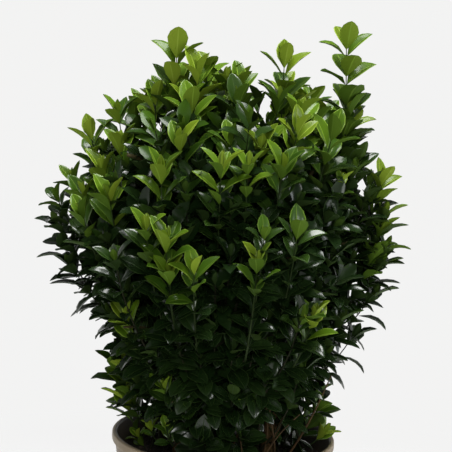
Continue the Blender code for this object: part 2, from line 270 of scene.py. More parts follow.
class Finish:
    """A material with one Principled shader, and a short way of adding nodes to it."""

    def __init__(self, name, colour, roughness, **constants):
        self.material = bpy.data.materials.new(name)
        self.material.use_nodes = True
        self.tree = self.material.node_tree
        self.shader = self.tree.nodes["Principled BSDF"]
        self.material.diffuse_color = (*colour, 1.0)
        self.shader.inputs["Base Color"].default_value = (*colour, 1.0)
        self.shader.inputs["Roughness"].default_value = roughness
        for socket, value in constants.items():
            self.shader.inputs[socket.replace("_", " ")].default_value = value

    def node(self, kind, settings=None, values=None, output=0):
        """Add a node of this kind: its settings first, then its sockets' values or links."""
        made = self.tree.nodes.new(kind)
        for name, value in (settings or {}).items():
            if name == "stops":
                ramp = made.color_ramp
                while len(ramp.elements) < len(value):
                    ramp.elements.new(0.5)
                for element, (place, shade) in zip(ramp.elements, value):
                    element.position = place
                    element.color = (*shade, 1.0)
            else:
                setattr(made, name, value)
        for name, value in (values or {}).items():
            if isinstance(value, Wire):
                self.tree.links.new(value.socket, made.inputs[name])
            else:
                made.inputs[name].default_value = value
        return Wire(self, made.outputs[output])

    def place(self):
        """The point's place on the object."""
        return self.node("ShaderNodeTexCoord", output="Object")

    def distance(self, stretch=(1.0, 1.0, 1.0)):
        """The length of the point's place, squeezed along each axis."""
        at = self.node("ShaderNodeMapping", {}, {"Vector": self.place(), "Scale": stretch})
        return self.node("ShaderNodeVectorMath", {"operation": "LENGTH"}, {"Vector": at}, output=1)

    def noise(self, scale, detail=4.0, rough=0.5, stretch=(1.0, 1.0, 1.0)):
        """Noise from 0 to 1 at this many waves to the metre, squeezed along each axis."""
        at = self.node("ShaderNodeMapping", {}, {"Vector": self.place(), "Scale": stretch})
        return self.node(
            "ShaderNodeTexNoise",
            {"noise_dimensions": "3D"},
            {"Vector": at, "Scale": scale, "Detail": detail, "Roughness": rough},
        )

    def shades(self, value, stops):
        """A colour ramp on a value."""
        return self.node("ShaderNodeValToRGB", {"stops": stops}, {"Fac": value})

    def blend(self, factor, first, second):
        """A mix of two colours."""
        values = {"Factor": factor, 6: first, 7: second}
        return self.node("ShaderNodeMix", {"data_type": "RGBA"}, values, output=2)

    def feed(self, socket, wire):
        self.tree.links.new(wire.socket, self.shader.inputs[socket])

    def relief(self, height, distance, strength=1.0):
        """Bump from a height between 0 and 1, this many metres deep."""
        values = {"Height": height, "Distance": distance, "Strength": strength}
        self.feed("Normal", self.node("ShaderNodeBump", {}, values))


# the pot's plastic: its mottling from dark to light, its flecks and the painted shade on its inner wall
POT_TONES = ((0.30, (0.222, 0.175, 0.112)), (0.55, (0.240, 0.189, 0.121)), (0.80, (0.254, 0.201, 0.131)))
POT_FLECK = (0.36, 0.29, 0.20, 1.0)
POT_INNER_SHADE = (0.022, 0.016, 0.009, 1.0)


def pot_finish():
    """Taupe recycled plastic: faint mottling, fine specks, a light grain and a satin face.

    Inside, where the distance from the axis is less than that of the wall's middle at the same
    height, the wall is darkened to a dark brown: painted shade.
    """
    made = Finish("pot_plastic", (0.230, 0.181, 0.116), 0.46, Specular_IOR_Level=0.3)
    tone = made.shades(made.noise(26.0, 3.0), POT_TONES)
    fleck = made.shades(made.noise(900.0, 2.0), ((0.60, (0.0, 0.0, 0.0)), (0.72, (1.0, 1.0, 1.0))))
    unshaded_plastic = made.blend(fleck * 0.22, tone, POT_FLECK)
    height = made.node("ShaderNodeSeparateXYZ", {}, {"Vector": made.place()}, output=2)
    foot = wall_radius(0.0)
    slope = (wall_radius(POT_HEIGHT) - foot) / POT_HEIGHT
    inward = height * slope + (foot - 0.5 * WALL) - made.distance((1.0, 1.0, 0.0))
    limits = {"Value": inward, "From Max": 0.0004, "To Max": 0.85}
    # painted shade: the inside of the wall is darkened to a dark brown
    inner_shade = made.node("ShaderNodeMapRange", {}, limits)
    made.feed("Base Color", made.blend(inner_shade, unshaded_plastic, POT_INNER_SHADE))
    made.feed("Roughness", made.noise(70.0, 3.0) * 0.22 + 0.36)
    grain = made.noise(1400.0, 2.0)
    drawn = made.noise(60.0, 2.0, stretch=(1.0, 1.0, 0.03))
    made.relief(grain * 0.5 + drawn * 0.5, 0.00012, 0.7)
    return made.material


SOIL_TONES = ((0.30, (0.004, 0.003, 0.002)), (0.52, (0.020, 0.013, 0.008)), (0.74, (0.070, 0.046, 0.028)))


def soil_finish():
    """Dark moist compost, mottled brown and black, with a crumbly relief."""
    made = Finish("potting_soil", (0.022, 0.015, 0.010), 0.92)
    made.feed("Base Color", made.shades(made.noise(420.0, 6.0, 0.65), SOIL_TONES))
    made.relief(made.noise(650.0, 6.0, 0.7), 0.0012)
    return made.material


# bark: its dark and light streaks, and the cast that lies over them in patches
BARKS = {
    "stem_bark": ((0.050, 0.028, 0.012), (0.200, 0.112, 0.045), (0.100, 0.085, 0.025)),
    "bough_bark": ((0.022, 0.017, 0.006), (0.075, 0.050, 0.020), (0.035, 0.045, 0.010)),
    "twig_bark": ((0.009, 0.010, 0.004), (0.026, 0.024, 0.010), (0.013, 0.017, 0.006)),
    "young_stem": ((0.010, 0.020, 0.004), (0.024, 0.042, 0.007), (0.018, 0.032, 0.005)),
    "older_stem": ((0.008, 0.009, 0.004), (0.022, 0.020, 0.008), (0.012, 0.016, 0.005)),
    "foot_twig_bark": ((0.026, 0.014, 0.006), (0.100, 0.052, 0.019), (0.045, 0.034, 0.012)),
}


def bark_finish(name):
    """Bark: fine lengthwise streaks, a cast over them in patches and a rough, dull face."""
    dark, light, cast = BARKS[name]
    made = Finish(name, light, 0.78, Specular_IOR_Level=0.2)
    streak = made.noise(260.0, 5.0, 0.6, stretch=(1.0, 1.0, 0.16))
    cloud = made.noise(40.0, 3.0)
    tone = made.shades(streak, ((0.32, dark), (0.68, light)))
    made.feed("Base Color", made.blend(cloud * 0.5, tone, (*cast, 1.0)))
    made.feed("Roughness", 0.62 + streak * 0.25)
    made.relief(streak * 0.7 + made.noise(900.0, 3.0) * 0.3, 0.00035)
    return made.material


def leaf_finish(name, colour, roughness, gloss):
    """One plain leaf colour with the gloss of its face, which its coat and its own shine share."""
    coat = {"Coat_Weight": gloss, "Coat_Roughness": 0.12}
    return Finish(name, colour, roughness, Specular_IOR_Level=0.06 + 0.62 * gloss, **coat).material


# tone classes of leaf, by age and by painted shade: three tones of the upper face, two of the
# underside, paler partly as painted glow of light through the leaf, one of the midrib, which also
# paints the glint along the upper face's edges, the slot and the gloss of the upper face
AGE_AND_SHADE_TONES = {
    "lime": (
        ((0.114, 0.180, 0.009), (0.134, 0.207, 0.011), (0.095, 0.158, 0.008)),
        ((0.208, 0.292, 0.025), (0.182, 0.263, 0.021)),
        (0.262, 0.358, 0.042),
        "leaf_young",
        0.14,
    ),
    "fresh": (
        ((0.074, 0.144, 0.007), (0.091, 0.172, 0.008), (0.060, 0.121, 0.006)),
        ((0.157, 0.236, 0.019), (0.126, 0.197, 0.016)),
        (0.185, 0.290, 0.030),
        "leaf_fresh",
        0.16,
    ),
    "green": (
        ((0.034, 0.080, 0.005), (0.043, 0.098, 0.006), (0.027, 0.066, 0.005)),
        ((0.078, 0.142, 0.013), (0.062, 0.118, 0.011)),
        (0.105, 0.180, 0.020),
        "leaf_green",
        0.24,
    ),
    "deep": (
        ((0.019, 0.045, 0.006), (0.024, 0.055, 0.007), (0.015, 0.037, 0.005)),
        ((0.044, 0.080, 0.012), (0.036, 0.068, 0.010)),
        (0.037, 0.071, 0.014),
        "leaf_dark",
        0.36,
    ),
    "dark": (
        ((0.009, 0.022, 0.005), (0.012, 0.028, 0.006), (0.007, 0.018, 0.004)),
        ((0.026, 0.048, 0.010), (0.020, 0.039, 0.009)),
        (0.019, 0.038, 0.009),
        "leaf_dark",
        0.37,
    ),
}
# slot of the midrib's colour, which also paints a glint along the upper face's edges
MIDRIB_AND_EDGE_GLINT = 5


def leaf_finishes(name, shine):
    """Each class's six materials: three upper tones, two underside tones, paler partly as painted glow,
    and the midrib's, which also paints the glint along the upper face's edges.
    """
    made = {}
    for age, (uppers, unders_and_glow, rib, _, gloss) in AGE_AND_SHADE_TONES.items():
        rows = [(f"upper_{number + 1}", colour, 0.40 - 0.36 * gloss, shine * gloss)
                for number, colour in enumerate(uppers)]
        # the undersides are paler than the upper faces, partly their own colour and partly painted glow
        # of light through the leaf
        rows += [(f"under_{number + 1}", colour, 0.55, 0.0) for number, colour in enumerate(unders_and_glow)]
        # the midrib's colour, also used for the painted glint strips along the upper face's edges
        rows.append(("midrib", rib, 0.40, 0.10))
        made[age] = [leaf_finish(f"{name}_{age}_{face}", *rest) for face, *rest in rows]
    return made


# --- surfaces -----------------------------------------------------------------------------------
def unit(vectors):
    """Vectors scaled to length one."""
    vectors = np.asarray(vectors, float)
    return vectors / np.maximum(np.linalg.norm(vectors, axis=-1, keepdims=True), 1e-12)


def around(distance, turn, height):
    """Points at these distances from the Z axis, turns about it and heights."""
    sides = np.broadcast_arrays(distance * np.cos(turn), distance * np.sin(turn), height)
    return np.stack(sides, -1)


def new_piece(name, points, faces, materials, indices=None, smooth=True):
    """A mesh object at the origin from points (n, 3) and faces, given as arrays of 3s and 4s."""
    mesh = bpy.data.meshes.new(name)
    loops = np.concatenate([face.ravel() for face in faces]).astype(np.int32)
    sizes = np.concatenate([np.full(len(face), face.shape[1]) for face in faces])
    starts = np.concatenate([[0], np.cumsum(sizes)[:-1]]).astype(np.int32)
    mesh.vertices.add(len(points))
    mesh.vertices.foreach_set("co", np.asarray(points, np.float32).ravel())
    mesh.loops.add(len(loops))
    mesh.loops.foreach_set("vertex_index", loops)
    mesh.polygons.add(len(sizes))
    mesh.polygons.foreach_set("loop_start", starts)
    mesh.polygons.foreach_set("use_smooth", np.full(len(sizes), smooth))
    for material in materials:
        mesh.materials.append(material)
    if indices is not None:
        mesh.polygons.foreach_set("material_index", np.asarray(indices, np.int32))
    mesh.update(calc_edges=True)
    mesh.validate()
    made = bpy.data.objects.new(name, mesh)
    bpy.context.scene.collection.objects.link(made)
    return made


def ring_faces(rows, columns, first=0):
    """Quads of a grid whose columns close on themselves, wound to face out when rows go up."""
    row, column = np.meshgrid(np.arange(rows - 1), np.arange(columns), indexing="ij")
    after = (column + 1) % columns
    corners = (row * columns + column, row * columns + after)
    above = ((row + 1) * columns + after, (row + 1) * columns + column)
    return first + np.stack([*corners, *above], -1).reshape(-1, 4)


def end_fans(columns, last, foot, head):
    """Triangles from point foot to the first ring and from point head to the ring that starts at last."""
    column = np.arange(columns)
    after = (column + 1) % columns
    first = np.stack([np.full(columns, foot), after, column], -1)
    return [first, np.stack([last + column, last + after, np.full(columns, head)], -1)]


def turned_piece(name, profile, columns, shape, material):
    """A profile of (radius, height) turned about Z, closed by a fan at each end on the axis.

    shape(points) moves the points of the grid (rows, columns, 3) before they are joined.
    """
    profile = np.asarray(profile, float)
    inner = profile[1:-1]
    turn = 2 * math.pi * np.arange(columns) / columns
    grid = shape(around(inner[:, :1], turn, inner[:, 1:]))
    ends = np.array([[0, 0, profile[0, 1]], [0, 0, profile[-1, 1]]])
    points = np.concatenate([grid.reshape(-1, 3), ends])
    fans = end_fans(columns, (len(inner) - 1) * columns, len(points) - 2, len(points) - 1)
    return new_piece(name, points, [ring_faces(len(inner), columns), *fans], [material])


def rounded(profile, radius, steps=4):
    """A profile with each inner corner rounded by a curve that starts this far from it."""
    profile = np.asarray(profile, float)
    made = [profile[0]]
    for before, corner, after in zip(profile, profile[1:], profile[2:]):
        reach = min(radius, 0.45 * math.dist(before, corner), 0.45 * math.dist(after, corner))
        start = corner + reach * unit(before - corner)
        end = corner + reach * unit(after - corner)
        for share in np.linspace(0, 1, steps):
            made.append((1 - share) ** 2 * start + 2 * share * (1 - share) * corner + share**2 * end)
    made.append(profile[-1])
    return np.array(made)


def curves(controls, steps):
    """Cubic curves (n, steps, 3) from their four control points (n, 4, 3).

    The points' weights are back^3, 3 back^2 share, 3 back share^2 and share^3.
    """
    share = np.linspace(0, 1, steps)[None, :, None]
    back = 1 - share
    first, second, third, fourth = (controls[:, k : k + 1] for k in range(4))
    early = back**3 * first + 3 * back**2 * share * second
    return early + 3 * back * share**2 * third + share**3 * fourth


def side_frames(paths):
    """For paths (n, steps, 3): the way along, and two ways across that turn as little as they can."""
    along = unit(np.gradient(paths, axis=1))
    across = np.empty_like(along)
    start = np.where(np.abs(along[:, 0, 2:3]) < 0.9, [[0.0, 0.0, 1.0]], [[1.0, 0.0, 0.0]])
    across[:, 0] = unit(np.cross(along[:, 0], start))
    for step in range(1, paths.shape[1]):
        kept = across[:, step - 1]
        inward = (kept * along[:, step]).sum(-1, keepdims=True) * along[:, step]
        across[:, step] = unit(kept - inward)
    return along, across, np.cross(along, across)


def tubes(paths, radii, sides, relief=None):
    """Closed tubes round paths (n, steps, 3) with radii (n, steps): points and faces.

    A ring is centre + radius x (cos(turn) x across + sin(turn) x over); relief(turn, share) scales it.
    """
    count, steps = paths.shape[:2]
    along, across, over = side_frames(paths)
    turn = 2 * math.pi * np.arange(sides) / sides
    size = np.broadcast_to(radii[:, :, None], (count, steps, sides)).copy()
    if relief is not None:
        size *= relief(turn, np.linspace(0, 1, steps))
    ring = (
        np.cos(turn)[None, None, :, None] * across[:, :, None]
        + np.sin(turn)[None, None, :, None] * over[:, :, None]
    )
    grid = paths[:, :, None] + size[..., None] * ring
    foot = paths[:, 0] - 0.3 * radii[:, :1] * along[:, 0]
    head = paths[:, -1] + 0.5 * radii[:, -1:] * along[:, -1]
    each = steps * sides + 2
    points = np.concatenate([grid.reshape(count, -1, 3), np.stack([foot, head], 1)], 1)
    fans = np.concatenate(end_fans(sides, (steps - 1) * sides, each - 2, each - 1))
    shift = each * np.arange(count)[:, None, None]
    quads = (ring_faces(steps, sides)[None] + shift).reshape(-1, 4)
    return points.reshape(-1, 3), [quads, (fans[None] + shift).reshape(-1, 3)]


def limb_piece(name, paths, radii, sides, finish, slot, node=None, relief=None):
    """Tubes round these paths as one piece, which stands for this node; the slot is not used."""
    points, faces = tubes(paths, np.broadcast_to(radii, paths.shape[:2]), sides, relief)
    piece = new_piece(name, points, faces, [finish])
    if node:
        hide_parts(node)
    return piece


# --- leaves -------------------------------------------------------------------------------------
class LeafShape:
    """The points and faces of one closed leaf: a stalk's end, a tip and rows of points between.

    The upper sheet's halves are domed, the lower sheet's are plain, and both share the outline.
    Cells named pale take the midrib's colour; on the upper sheet the edge cells so named are a
    painted glint along the margin. Faces wind to face outwards.
    """

    def __init__(self, rows, across, under, rib_and_edge_glint_above=(), pale_below=()):
        self.share, self.broad = np.array([(0, 0), *rows, (1, 0)]).T
        inner, wide, below = len(rows), len(across), len(under)
        top = 2 + np.arange(inner * wide).reshape(inner, wide)
        rib = 2 + inner * wide + np.arange(inner * below).reshape(inner, below)
        low = np.concatenate([top[:, :1], rib, top[:, -1:]], 1)
        each = np.arange(1, inner + 1)
        self.row = np.concatenate([[0, inner + 1], np.repeat(each, wide), np.repeat(each, below)])
        self.across = np.concatenate([[0, 0], np.tile(across, inner), np.tile(under, inner)])
        self.under = np.concatenate([np.zeros(2 + inner * wide), np.ones(inner * below)])
        self.rim = np.abs(self.across) == 1
        self.rim[:2] = True
        self.sheets = []
        for index, way, pale in ((top, 1, rib_and_edge_glint_above), (low, -1, pale_below)):
            cells = index.shape[1] - 1
            corners = [index[:-1, :-1], index[:-1, 1:], index[1:, 1:], index[1:, :-1]]
            quads = np.stack(corners, -1).reshape(-1, 4)
            foot = np.stack([np.zeros(cells, int), index[0, 1:], index[0, :-1]], -1)
            head = np.stack([index[-1, :-1], index[-1, 1:], np.ones(cells, int)], -1)
            light = np.isin(np.arange(cells), pale)
            faces = (quads[:, ::way], np.concatenate([foot, head])[:, ::way])
            self.sheets.append((faces, (np.tile(light, inner - 1), np.tile(light, 2))))

    def points(self, leaves):
        """Points (n, points, 3) of leaves given as a dictionary of arrays.

        A leaf's midrib starts along its way and turns back towards its underside by its bend, times
        the share of the length to the power 1.3. Across, each half rises from the midrib by its
        fold and levels off towards the edge, as across - dome x across cubed, with a small ripple
        along it. The underside lies a thickness below the midrib.
        """
        way, face = leaves["way"], leaves["face"]
        side = np.cross(way, face)
        share = self.share
        middle = (share[1:] + share[:-1]) / 2
        turned = leaves["bend"][:, None] * middle**1.3
        step = np.diff(share) * leaves["length"][:, None]
        nought = np.zeros((len(way), 1))
        ahead = np.concatenate([nought, np.cumsum(step * np.cos(turned), 1)], 1)
        down = np.concatenate([nought, np.cumsum(step * np.sin(turned), 1)], 1)
        turn = leaves["bend"][:, None] * share**1.3
        rib = ahead[..., None] * way[:, None] - down[..., None] * face[:, None]
        up = np.sin(turn)[..., None] * way[:, None] + np.cos(turn)[..., None] * face[:, None]
        half = leaves["width"][:, None] * self.broad[self.row]
        out = half * self.across * np.cos(leaves["fold"])[:, None]
        rise = np.abs(self.across) - LEAF_DOME * np.abs(self.across) ** 3
        ripple = leaves["ripple"][:, None] * np.sin(9.0 * share[self.row] + leaves["phase"][:, None])
        rise = half * (rise * np.sin(leaves["fold"])[:, None] + ripple * self.across**2)
        rise = rise - LEAF_THICKNESS * self.under
        at = leaves["place"][:, None] + rib[:, self.row]
        return at + out[..., None] * side[:, None] + rise[..., None] * up[:, self.row]

    def sharp_edges(self, mesh, count):
        """Sharp edges round each leaf's outline."""
        rim = np.tile(self.rim, count)
        ends = np.empty(2 * len(mesh.edges), np.int32)
        mesh.edges.foreach_get("vertices", ends)
        first, second = ends.reshape(-1, 2).T
        mesh.edges.foreach_set("use_edge_sharp", rim[first] & rim[second])


# rows from stalk to tip: share of the length, and width as a share of the half width
FULL_LEAF = LeafShape(
    ((0.13, 0.30), (0.34, 0.84), (0.57, 1.0), (0.78, 0.75), (0.92, 0.35)),
    (-1.0, -0.88, -0.48, -0.055, 0.055, 0.48, 0.88, 1.0),
    (-0.07, 0.07),
    # pale cells: 0 and 6 are painted glint strips along the edges, 3 is the midrib
    rib_and_edge_glint_above=(0, 3, 6),
    pale_below=(1,),
)
INNER_LEAF = LeafShape(((0.22, 0.55), (0.52, 1.0), (0.80, 0.70)), (-1.0, 0.0, 1.0), (0.0,))


def clear_of_openings(points):
    """Which leaves, as points (n, points, 3), leave every opening free.

    A point is outside one where (sideways / wide)^2 + (height / high)^2 is over 1.
    """
    height = points[..., 2] + SLOPE * points[..., 1]
    free = np.ones(len(points), bool)
    for x, z, wide, high in OPENINGS:
        away = ((points[..., 0] - x) / wide) ** 2 + ((height - z) / high) ** 2
        free &= away.min(1) > 1
    return free


def clear_of_pot(points):
    """Which leaves, as points (n, points, 3), keep off the pot's wall and rim and out of the soil."""
    radius = np.hypot(points[..., 0], points[..., 1])
    height = points[..., 2]
    low = height < POT_HEIGHT + LEAF_CLEARANCE
    inside = radius < wall_radius(height) - WALL - LEAF_CLEARANCE
    outside = radius > RIM_RADIUS + LEAF_CLEARANCE
    in_wall = (low & ~inside & ~outside).any(1)
    buried = (inside & (height < SOIL_TOP + 0.0005)).any(1)
    across = (low & inside).any(1) & (low & outside).any(1)
    return ~(in_wall | buried | across)


def leaf_piece(name, shape, leaves, finishes):
    """Join these leaves into one piece, each face in its leaf's tone or in the midrib's, which on the
    upper face's edge cells is a painted glint.
    """
    points = shape.points(leaves)
    count, each = points.shape[:2]
    shift = each * np.arange(count)[:, None, None]
    tones = (leaves["tone"] % 3, 3 + leaves["tone"] % 2)
    faces, indices = [], []
    for (groups, rib_and_glint_masks), tone in zip(shape.sheets, tones):
        for group, rib in zip(groups, rib_and_glint_masks):
            faces.append((group[None] + shift).reshape(-1, group.shape[1]))
            # pale cells take the midrib's colour: the midrib, and on the upper face the painted glint
            # along the edges
            indices.append(np.where(rib[None], MIDRIB_AND_EDGE_GLINT, tone[:, None]).ravel())
    piece = new_piece(name, points.reshape(-1, 3), faces, finishes, np.concatenate(indices))
    shape.sharp_edges(piece.data, count)
    return piece


def leaf_pieces(name, shape, leaves, finishes):
    """The leaves that stand free, by tone of age and painted shade, in pieces small enough to keep their
    triangles.
    """
    made = []
    points = shape.points(leaves)
    place = leaves["place"]
    open_foot = bare_side(np.arctan2(place[:, 1], place[:, 0]), place[:, 2] + 0.010)
    free = clear_of_openings(points) & clear_of_pot(points) & ~open_foot
    each = sum(2 * len(quads) + len(threes) for (quads, threes), _ in shape.sheets)
    for number, age in enumerate(AGE_AND_SHADE_TONES):
        chosen = np.flatnonzero(free & (leaves["age"] == number))
        pieces = math.ceil(len(chosen) * each / PIECE_TRIANGLES)
        for part in range(pieces):
            members = np.array_split(chosen, pieces)[part]
            some = {key: values[members] for key, values in leaves.items()}
            piece = leaf_piece(f"{name}_{age}_{part + 1}", shape, some, finishes[age])
            made.append(piece)
    return made


# --- shoots -------------------------------------------------------------------------------------
def outline_at(height):
    """The crown's sideways middle and half width at this height."""
    heights, middle, half = OUTLINE.T
    return np.interp(height, heights, middle), np.interp(height, heights, half)


def shoot(tip, lean, length, size, fresh, azimuth, spin):
    """One shoot: where its tip is, how it leans, how big and how young its leaves are."""
    return {
        "tip": np.asarray(tip, float),
        "lean": math.radians(lean),
        "length": length,
        "size": size,
        "fresh": fresh,
        "azimuth": azimuth,
        "spin": math.radians(spin),
    }


def plan_leaders():
    """The shoots with a place of their own; a share of 1 puts the tip on the front of the crown.

    The front is the crown's ring at that height: depth = reach x sqrt(1 - (sideways / reach)^2).
    """
    planned = []
    for x, z, share, lean, length, size, fresh, spin in itertools.chain(*SHOOTS.values()):
        middle, half = outline_at(z)
        reach = half - LEAF_REACH
        y = -share * reach * math.sqrt(max(0.0, 1 - ((x - middle) / reach) ** 2))
        azimuth = math.atan2(y, x + 0.006)
        planned.append(shoot((x, y, z), lean, length, size, fresh, azimuth, spin))
    return planned


# rows of shoots round the crown: where they start and end, the height below which the crown is
# its lower part, and for that part and the upper one the gap between rows, the gap along a row and
# the least distance to a shoot with a place of its own
ROWS_FROM = 0.166
ROWS_TO = 0.440
LOW_CROWN = 0.27
ROW_GAP = (0.026, 0.029)
COLUMN_GAP = (0.031, 0.034)
NEAREST_NAMED = (0.022, 0.030)

# shoots over the top: how many, the turn from one to the next and the radius that they fill
TOP_SHOOTS = 46
TOP_TURN = 2.39996
TOP_RADIUS = 0.098

# shoots inside, in layers: depth under the outer ones, gap between rows and gap along a row
LAYERS = ((0.018, 0.028, 0.042), (0.036, 0.026, 0.036), (0.060, 0.032, 0.040))


def bare_side(azimuth, height):
    """Whether a place is at the crown's foot on the front right, where the soil lies open."""
    turn = (azimuth + math.pi) % (2 * math.pi) - math.pi
    return (height < BARE_TOP) & (turn > BARE_FROM) & (turn < BARE_TO)


def ring_tip(azimuth, height, inset):
    """The tip of a shoot on the crown's ring at this height, this far inside it."""
    middle, half = outline_at(height)
    return around(half - LEAF_REACH - inset, azimuth, height) + (middle, 0, 0)


def plan_rows(named, draws):
    """Shoots in staggered rows round the crown, where no named one stands.

    Low ones lean out and carry broad spread leaves; high ones stand nearly upright in long columns.
    """
    planned = []
    height, row = ROWS_FROM, 0
    while height < ROWS_TO:
        upper = int(height >= LOW_CROWN)
        reach = outline_at(height)[1] - LEAF_REACH
        count = int(round(2 * math.pi * reach / COLUMN_GAP[upper]))
        for number in range(count):
            azimuth = 2 * math.pi * (number + 0.5 * (row % 2) + draws.uniform(-0.3, 0.3)) / count
            up = height + draws.uniform(-0.012, 0.012)
            front = math.sin(azimuth) < -0.12 and up > LOW_CROWN
            inset = draws.uniform(0.018, 0.040) if front else draws.uniform(-0.004, 0.010)
            tip = ring_tip(azimuth, up, inset)
            near = np.linalg.norm(named - tip, axis=1).min() < NEAREST_NAMED[int(up > 0.24)]
            if near or bare_side(azimuth, up):
                continue
            share = (up - 0.15) / 0.30
            lean = np.interp(share, (0, 0.3, 0.7, 1), (46, 32, 16, 7)) + draws.uniform(-12, 12)
            # lower shoots, and the inset ones between the front columns, get darker leaves: age and
            # painted shade
            fresh = np.interp(share, (0, 0.35, 0.75, 1), (0.14, 0.20, 0.46, 0.72))
            fresh += draws.normal(0, 0.13) - (0.52 if front else 0.0)
            length = np.interp(share, (0, 0.4, 1), (0.068, 0.090, 0.112)) * draws.uniform(0.85, 1.15)
            size = draws.uniform(0.88, 1.12)
            planned.append(shoot(tip, lean, length, size, fresh, azimuth, draws.uniform(0, 180)))
        height += ROW_GAP[upper]
        row += 1
    return planned


def plan_top(named, draws):
    """Shoots in a spiral over the crown's top: radius = TOP_RADIUS x sqrt(share of the count).

    The top is level in its middle and falls off beyond it; valleys cut it down.
    """
    planned = []
    for number in range(TOP_SHOOTS):
        azimuth = number * TOP_TURN
        out = TOP_RADIUS * math.sqrt((number + 0.5) / TOP_SHOOTS)
        height = 0.452 - 1.1 * max(0.0, out - 0.045) ** 1.25 + draws.uniform(-0.014, 0.010)
        tip = around(out, azimuth, height) + (0.002, 0, 0)
        front = tip[1] < 0.01
        if front:
            tip[2] -= 0.016
        for middle, half, top in VALLEYS:
            if abs(tip[0] - middle) < half:
                tip[2] = min(tip[2], top)
        if np.linalg.norm(named - tip, axis=1).min() < 0.024:
            continue
        fresh = 0.84 + draws.normal(0, 0.10) - (0.06 if front else 0.0)
        length, size = draws.uniform(0.08, 0.11), draws.uniform(0.92, 1.12)
        planned.append(shoot(tip, 3 + 110 * out, length, size, fresh, azimuth, draws.uniform(0, 180)))
    return planned


def plan_inner(draws):
    """Older shoots under the outer ones, darker as painted shade, which close the view into the crown."""
    planned = []
    for depth, row_gap, column_gap in LAYERS:
        for height in np.arange(0.170, 0.430, row_gap):
            middle, half = outline_at(height)
            reach = half - LEAF_REACH - depth * (0.75 if height < 0.23 else 1.0)
            if reach < 0.02:
                continue
            count = int(round(2 * math.pi * reach / column_gap))
            turn = draws.uniform(0, 1)
            for number in range(count):
                azimuth = 2 * math.pi * (number + turn + draws.uniform(-0.3, 0.3)) / count
                up = height + draws.uniform(-0.012, 0.012)
                if bare_side(azimuth, up):
                    continue
                tip = around(reach, azimuth, up) + (middle, 0, 0)
                # darker leaves lower down inside the crown: age and painted shade
                fresh = np.interp(up, (0.2, 0.36, 0.42), (-0.05, 0.19, 0.44)) + draws.normal(0, 0.06)
                lean, length = draws.uniform(12, 45), draws.uniform(0.05, 0.07)
                planned.append(shoot(tip, lean, length, 0.98, fresh, azimuth, draws.uniform(0, 180)))
    return planned


def gather(planned, key):
    """One value of every planned shoot, as an array."""
    return np.array([item[key] for item in planned])


def shoot_curves(planned):
    """Each shoot's curve (n, 4, 3): it leaves its branch leaning out and rises to its tip."""
    tip, out = gather(planned, "tip"), around(1.0, gather(planned, "azimuth"), 0.0)
    lean, length = gather(planned, "lean")[:, None], gather(planned, "length")[:, None]
    up = np.array([[0.0, 0.0, 1.0]])
    at_tip = np.sin(lean) * out + np.cos(lean) * up
    base_lean = lean + np.interp(tip[:, 2:], (0.25, 0.42, 0.46), (0.62, 0.12, -0.02))
    at_base = np.sin(base_lean) * out + np.cos(base_lean) * up
    third = tip - 0.34 * length * at_tip
    second = third - 0.33 * length * unit(at_tip + at_base)
    first = second - 0.33 * length * at_base
    return np.stack([first, second, third, tip], 1)


# how a leaf stands, by its pair's number from the tip: spread from the stem and bend, in degrees,
# fold of its halves in degrees, and share of full length
PAIR_SPREAD = np.array([9, 24, 33, 36, 39, 42, 44])
PAIR_BEND = np.array([6, 20, 28, 31, 34, 37, 40])
PAIR_FOLD = np.array([42, 38, 34, 31, 28, 26, 24])
PAIR_SIZE = np.array([0.50, 0.92, 1.00, 1.00, 1.00, 0.98, 0.94])
PAIR_GAP = np.array([0.28, 0.55, 1.0])

INTERNODE = 0.0102
LIGHT = np.array([0.0, -0.12, 1.0])


def place_leaves(planned, draws):
    """Leaves in opposite pairs down each shoot, each pair a quarter turn from the one above.

    A row holds the shoot's number, the pair's number from the tip, the leaf's place, the stem's
    way, the way outwards and the share of the shoot above it.
    """
    steps = 33
    paths = curves(shoot_curves(planned), steps)
    along = unit(np.gradient(paths, axis=1))
    over = unit(np.cross(along, (0.0, 1.0, 0.0)))
    across = np.cross(over, along)
    rows = []
    for index, item in enumerate(planned):
        line = paths[index]
        lengths = np.concatenate([[0], np.cumsum(np.linalg.norm(np.diff(line, axis=0), axis=1))])
        total = lengths[-1]
        gone, pair = 0.0008, 0
        uneven = np.interp(item["tip"][2], (0.44, 0.465), (0.12, 0.36))
        while gone < total - 0.004:
            at = np.interp(total - gone, lengths, np.arange(steps))
            low = min(int(at), steps - 2)
            place = line[low] + (at - low) * (line[low + 1] - line[low])
            spin = item["spin"] + (pair - 1) * math.pi / 2 + draws.normal(0, 0.09)
            for half_turn in (0, math.pi):
                if pair > 3 and draws.uniform() < 0.08:
                    continue
                turn = spin + half_turn + draws.normal(0, 0.06)
                outward = math.cos(turn) * across[index, low] + math.sin(turn) * over[index, low]
                rows.append((index, pair, *place, *along[index, low], *outward, gone / total))
            gap = PAIR_GAP[min(pair, 2)] * draws.uniform(0.90, 1.10)
            if pair > 1:
                gap *= 1 + (uneven if pair % 2 == 0 else -uneven)
            gone += INTERNODE * item["size"] * gap
            pair += 1
    return np.array(rows)


